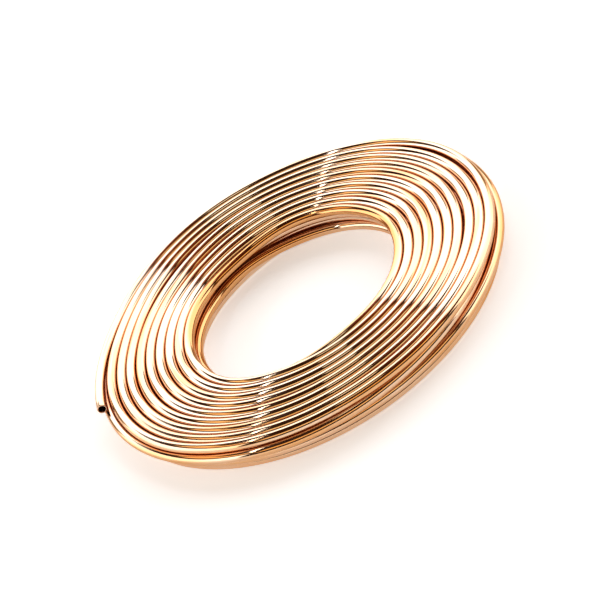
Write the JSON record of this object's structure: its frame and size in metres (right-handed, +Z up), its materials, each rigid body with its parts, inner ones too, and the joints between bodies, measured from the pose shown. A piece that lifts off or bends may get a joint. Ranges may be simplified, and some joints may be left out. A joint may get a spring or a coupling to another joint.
{
  "type": "copper tube coil",
  "caption": "Flat pancake coil of bright soft copper tube, wound in nested layers round an open bore, with its cut ends at the rim.",
  "frame": {"origin": "on the coil's axis, in the plane that it lies on", "axes": "+Z up along the coil's axis; the free tail leaves the rim between +Y and -X"},
  "size_m": [0.2732, 0.2732, 0.0227],
  "materials": {
    "copper_tube": "bright drawn soft copper, polished, with a light warm tarnish in the valleys"
  },
  "bodies": {
    "root": {"tube_coil": "copper_tube"}
  },
  "joints": []
}
